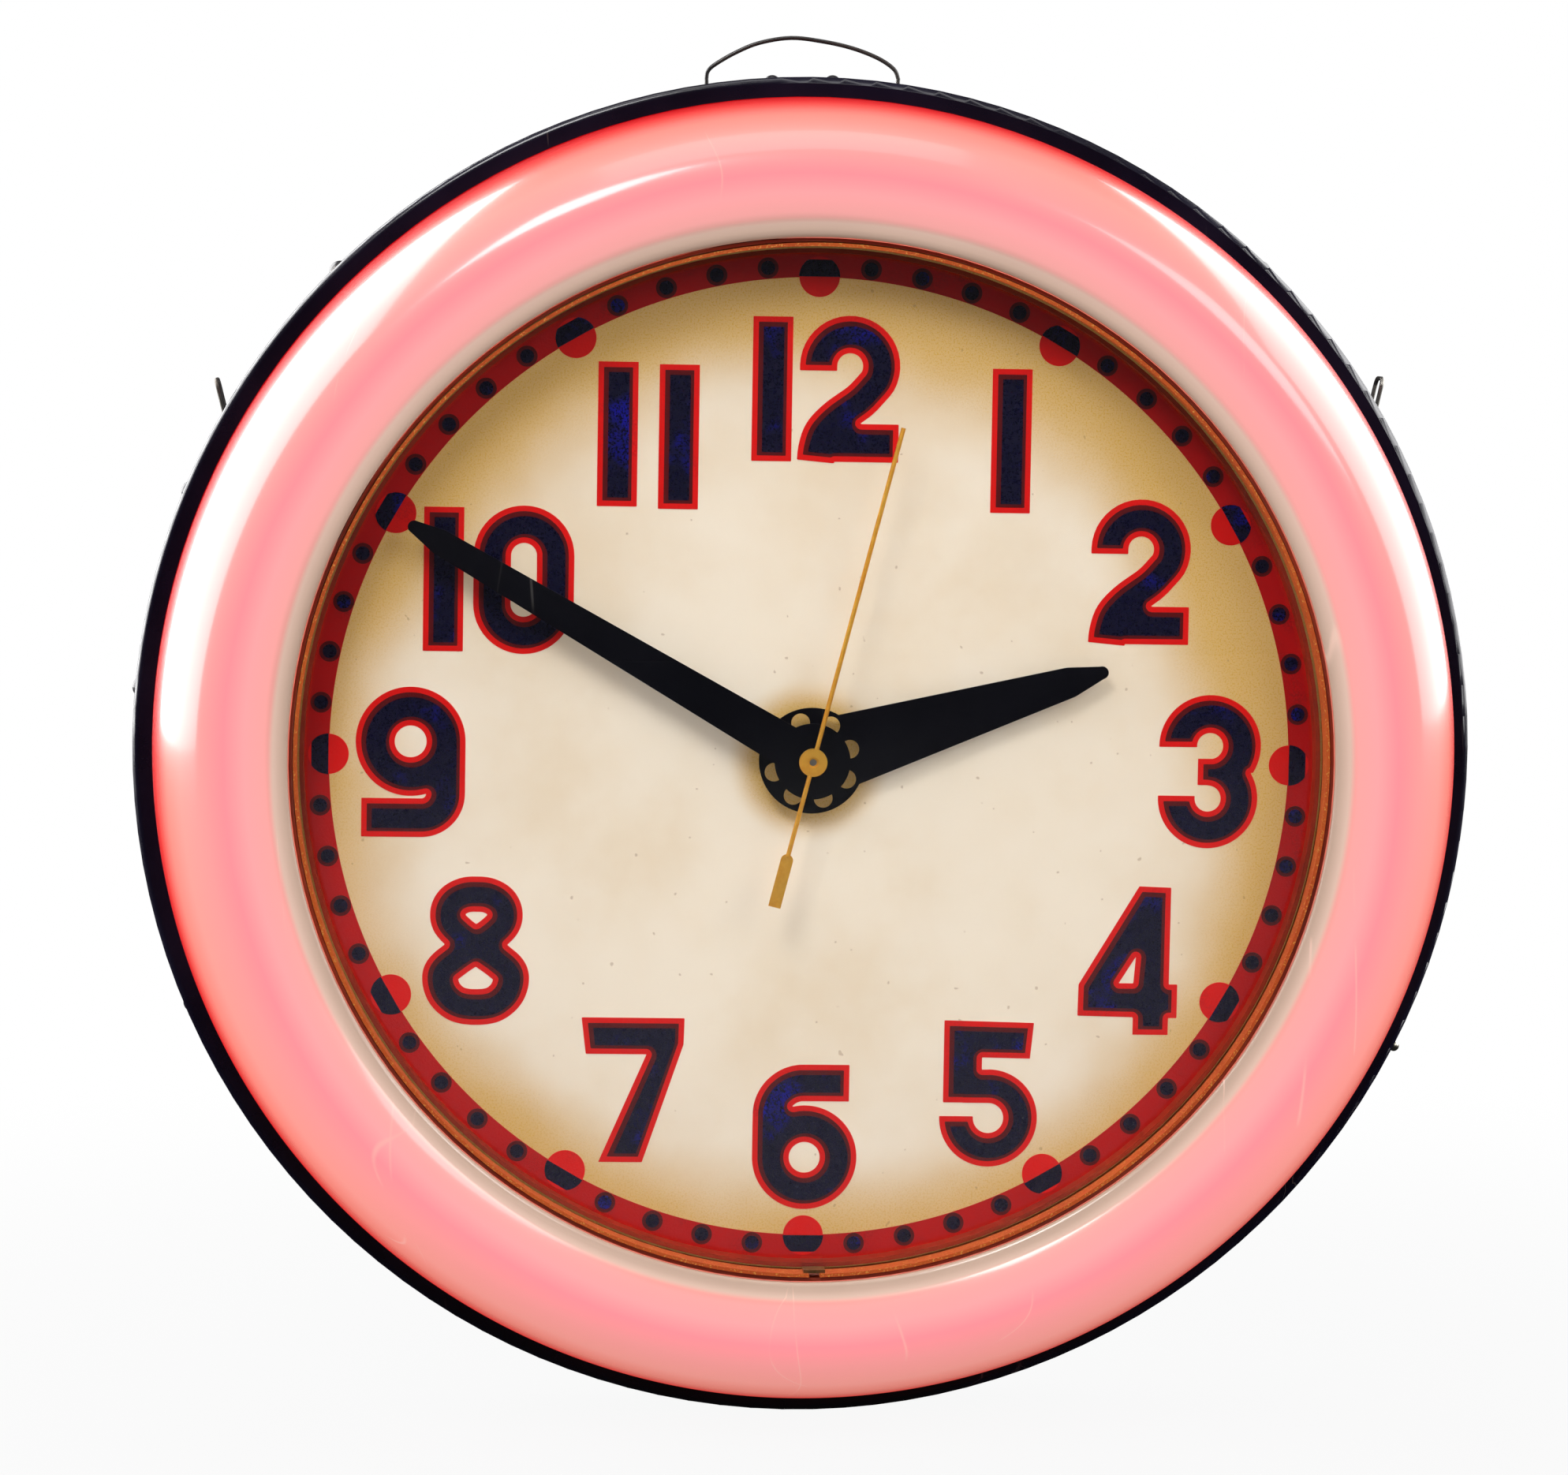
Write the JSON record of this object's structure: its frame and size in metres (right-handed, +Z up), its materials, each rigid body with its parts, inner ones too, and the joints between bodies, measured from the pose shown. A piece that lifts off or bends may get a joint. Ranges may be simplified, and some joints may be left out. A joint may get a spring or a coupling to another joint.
{
  "type": "service station advertising clock",
  "caption": "Round lit wall clock: black steel case, pink-lit translucent light ring, cream dial with red and blue numbers under domed glass, three hands and wire hangers.",
  "frame": {"origin": "centre of the flat back cover on the hands' axis, where the clock rests against the wall", "axes": "+Z up, -Y out of the dial towards the viewer, +Y into the wall, +X to the viewer's right"},
  "size_m": [0.5095, 0.156, 0.5241],
  "materials": {
    "case_black": "satin black enamel on spun steel",
    "bezel_black": "gloss black enamel on spun steel",
    "screw_black": "black oxide screw heads",
    "screw_steel": "plated steel screws",
    "black_rubber": "black rubber",
    "ring_plastic": "translucent white plastic, lit pink from inside",
    "white_enamel": "white reflector enamel",
    "lit_tube": "glass tube with a red glow",
    "clear_post": "clear glass tube support",
    "red_rubber": "red high-voltage rubber",
    "porcelain": "glazed porcelain",
    "drum_steel": "zinc-plated sheet",
    "dial_print": null,
    "red_lacquer": "red lacquer",
    "dial_glass": "clear domed glass",
    "band_brass": "lacquered copper-bronze band",
    "clip_brass": "brass clip",
    "bail_wire": "blackened steel wire",
    "loop_wire": "dull steel wire",
    "zinc_steel": "zinc-plated strap",
    "core_iron": "varnished iron laminations",
    "coil_paper": "varnished paper and copper windings",
    "bakelite": "moulded phenolic",
    "cloth_wire": "cloth-covered wire",
    "switch_nickel": "nickel plate",
    "plate_brass": "brushed brass plate",
    "wheel_brass": "cut brass wheel",
    "arbor_steel": "ground steel arbor",
    "rotor_copper": "coppered rotor housing",
    "hand_black": "satin black hands",
    "hand_gold": "gilt second hand"
  },
  "bodies": {
    "root": {"case_pan": "case_black", "front_bezel": "bezel_black", "bezel_screws": "screw_black", "rear_can": "case_black", "can_screws": "screw_steel", "back_cover": "case_black", "cover_screws": "screw_steel", "cord_bushing": "black_rubber", "glow_ring": "ring_plastic", "ring_gasket": "black_rubber", "reflector": "white_enamel", "neon_tube": "lit_tube", "tube_supports": "clear_post", "electrode_boots": "red_rubber", "ht_leads": "red_rubber", "ht_bushings": "porcelain", "dial_pan": "drum_steel", "dial_pan_posts": "drum_steel", "dial": "dial_print", "spacer_ring": "red_lacquer", "crystal": "dial_glass", "crystal_band": "band_brass", "band_clip": "clip_brass", "bail_bracket": "zinc_steel", "loop_brackets": "zinc_steel", "bracket_screws": "screw_black", "transformer_core": "core_iron", "transformer_coils": "coil_paper", "transformer_frame": "zinc_steel", "chassis_screws": "screw_steel", "terminal_block": "bakelite", "inner_wires": "cloth_wire", "switch_body": "bakelite", "switch_nut": "switch_nickel", "front_plate": "plate_brass", "back_plate": "plate_brass", "plate_pillars": "plate_brass", "plate_nuts": "screw_steel", "movement_posts": "drum_steel", "motor_can": "rotor_copper", "motor_coil": "coil_paper", "motor_field": "core_iron"},
    "minute": {"minute_arbor": "arbor_steel", "minute_hand": "hand_black", "hand_nut": "wheel_brass", "clutch_spring": "arbor_steel"},
    "hour": {"hour_wheel": "wheel_brass", "hour_hand": "hand_black"},
    "motion": {"minute_wheel": "wheel_brass"},
    "setting": {"set_shaft": "arbor_steel", "set_knob": "bakelite"},
    "seconds": {"second_arbor": "arbor_steel", "second_hand": "hand_gold"},
    "idler": {"idler_wheel": "wheel_brass"},
    "clutch": {"clutch_wheel": "wheel_brass"},
    "rotor": {"motor_pinion": "wheel_brass"},
    "bail": {"top_bail": "bail_wire"},
    "loop_left": {"side_loop_left": "loop_wire"},
    "loop_right": {"side_loop_right": "loop_wire"},
    "toggle": {"switch_lever": "switch_nickel"}
  },
  "joints": [
    {"name": "minute_hand_spin", "type": "hinge", "parent": "root", "child": "minute", "pos_m": [0, -0.136, 0], "axis": [0, 1, 0], "continuous": true},
    {"name": "hour_hand_spin", "type": "hinge", "parent": "root", "child": "hour", "pos_m": [0, -0.132, 0], "axis": [0, 1, 0], "continuous": true},
    {"name": "motion_wheel_spin", "type": "hinge", "parent": "root", "child": "motion", "pos_m": [0, -0.113, -0.018], "axis": [0, 1, 0], "continuous": true},
    {"name": "set_knob_spin", "type": "hinge", "parent": "root", "child": "setting", "pos_m": [0, -0.06, -0.03825], "axis": [0, 1, 0], "continuous": true},
    {"name": "second_hand_spin", "type": "hinge", "parent": "root", "child": "seconds", "pos_m": [0, -0.14, 0], "axis": [0, 1, 0], "continuous": true},
    {"name": "idler_wheel_spin", "type": "hinge", "parent": "root", "child": "idler", "pos_m": [-0.01767, -0.096, 0.0102], "axis": [0, 1, 0], "continuous": true},
    {"name": "clutch_wheel_spin", "type": "hinge", "parent": "root", "child": "clutch", "pos_m": [0, -0.103, 0], "axis": [0, 1, 0], "continuous": true},
    {"name": "rotor_spin", "type": "hinge", "parent": "root", "child": "rotor", "pos_m": [0, -0.08, 0.0144], "axis": [0, 1, 0], "continuous": true},
    {"name": "bail_swing", "type": "hinge", "parent": "root", "child": "bail", "pos_m": [0, -0.073, 0.24699], "axis": [1, 0, 0], "range_deg": [-40, 40]},
    {"name": "left_loop_swing", "type": "hinge", "parent": "root", "child": "loop_left", "pos_m": [-0.21656, -0.073, 0.11879], "axis": [0, 1, 0], "range_deg": [-38, 12]},
    {"name": "right_loop_swing", "type": "hinge", "parent": "root", "child": "loop_right", "pos_m": [0.21656, -0.073, 0.11879], "axis": [0, 1, 0], "range_deg": [-12, 38]},
    {"name": "toggle_throw", "type": "hinge", "parent": "root", "child": "toggle", "pos_m": [0.22245, -0.07, -0.11188], "axis": [0, 1, 0], "range_deg": [-24, 0]}
  ],
  "couplings": [
    {"joint": "hour_hand_spin", "follows": "minute_hand_spin", "ratio": 0.083333},
    {"joint": "motion_wheel_spin", "follows": "minute_hand_spin", "ratio": -0.33333},
    {"joint": "set_knob_spin", "follows": "minute_hand_spin", "ratio": 0.66667},
    {"joint": "idler_wheel_spin", "follows": "second_hand_spin", "ratio": -0.13333},
    {"joint": "clutch_wheel_spin", "follows": "second_hand_spin", "ratio": 0.016667},
    {"joint": "rotor_spin", "follows": "second_hand_spin", "ratio": -3}
  ]
}
